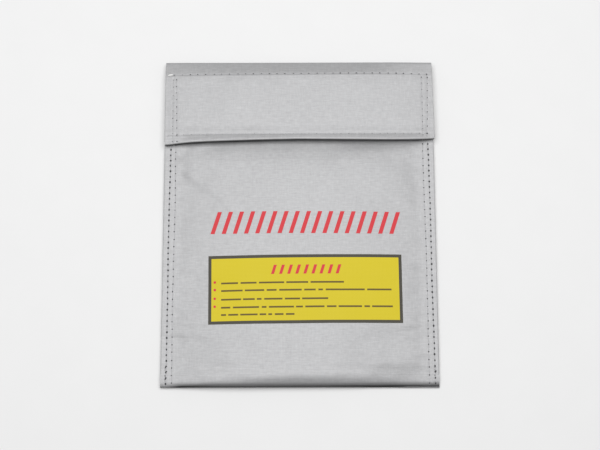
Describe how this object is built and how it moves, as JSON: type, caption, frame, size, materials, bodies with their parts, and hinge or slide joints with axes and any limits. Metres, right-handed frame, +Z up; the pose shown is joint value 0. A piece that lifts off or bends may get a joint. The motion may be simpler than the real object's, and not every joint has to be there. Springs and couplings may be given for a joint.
{
  "type": "lipo battery charging bag",
  "caption": "Flat sewn fire-resistant pouch with a fold-over flap closed by hook and loop tape, for charging and storing lipo battery packs.",
  "frame": {"origin": "on the resting plane, under the middle of the closed bag lying on its back", "axes": "+X across the width, +Y from the bottom fold to the top fold, +Z up out of the printed front"},
  "size_m": [0.18, 0.22, 0.0093],
  "materials": {
    "shell_cloth": "satin",
    "lining_cloth": "matte",
    "hook_tape": "satin",
    "loop_tape": "matte",
    "thread": "satin",
    "ink_red": "satin",
    "ink_yellow": "satin",
    "ink_frame": "satin",
    "ink_lines": "satin"
  },
  "bodies": {
    "pouch": {"back_lining": "lining_cloth", "back_panel": "shell_cloth", "left_seam_inner_thread": "thread", "left_seam_outer_thread": "thread", "left_side_hem": "shell_cloth", "mouth_corner_tacks": "thread", "right_seam_inner_thread": "thread", "right_seam_outer_thread": "thread", "right_side_hem": "shell_cloth", "top_fold": "shell_cloth", "top_fold_lining": "lining_cloth"},
    "front": {"front_lining": "lining_cloth", "front_panel": "shell_cloth", "loop_tape": "loop_tape", "loop_tape_thread": "thread", "mouth_hem": "shell_cloth", "print_panel_dots": "ink_red", "print_panel_field": "ink_yellow", "print_panel_frame": "ink_frame", "print_panel_heading": "ink_red", "print_panel_lines": "ink_lines", "print_title_bars": "ink_red"},
    "flap": {"flap_cloth": "shell_cloth", "flap_edge_hem": "shell_cloth", "flap_left_hem": "shell_cloth", "flap_left_thread": "thread", "flap_lining": "lining_cloth", "flap_lower_thread": "thread", "flap_right_hem": "shell_cloth", "flap_right_thread": "thread", "flap_top_thread": "thread", "hook_tape": "hook_tape"}
  },
  "joints": [
    {"name": "flap_hinge", "type": "hinge", "parent": "pouch", "child": "flap", "pos_m": [0, 0.11, 0.0044], "axis": [-1, 0, 0], "range_deg": [0, 178], "deforming": ["top_fold", "top_fold_lining"]},
    {"name": "mouth_opening", "type": "hinge", "parent": "pouch", "child": "front", "pos_m": [0, -0.1022, 0.0032], "axis": [1, 0, 0], "range_deg": [0, 7]}
  ],
  "couplings": [
    {"joint": "mouth_opening", "follows": "flap_hinge", "ratio": 0.039326}
  ]
}
